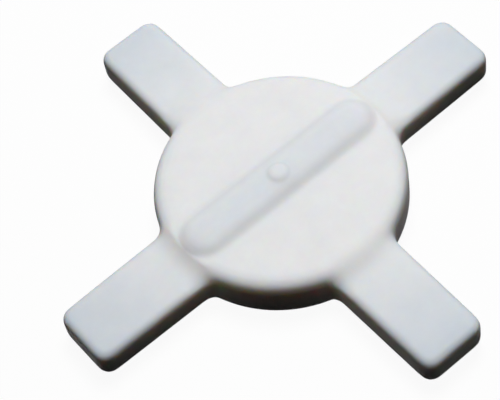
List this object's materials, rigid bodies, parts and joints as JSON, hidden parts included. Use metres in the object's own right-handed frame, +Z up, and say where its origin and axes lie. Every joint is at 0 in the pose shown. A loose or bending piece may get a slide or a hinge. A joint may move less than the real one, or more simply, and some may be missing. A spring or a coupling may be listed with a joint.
{
  "type": "magnetic stir bar",
  "caption": "Cross-shaped magnetic stir bar: a round disc with flat rounded arms and a low rib over a sealed bar magnet.",
  "frame": {"origin": "centre of the disc's flat underside, on the disc's axis", "axes": "+Z up along the disc's axis, +X along the rib, the magnet and one pair of arms, +Y along the other pair of arms"},
  "size_m": [0.0698, 0.0698, 0.0083],
  "materials": {
    "white_plastic": "smooth moulded fluoropolymer, satin and slightly translucent",
    "magnet_alloy": "cast magnet alloy, ground round and dull"
  },
  "bodies": {
    "root": {"body": "white_plastic", "bar_magnet": "magnet_alloy"}
  },
  "joints": []
}
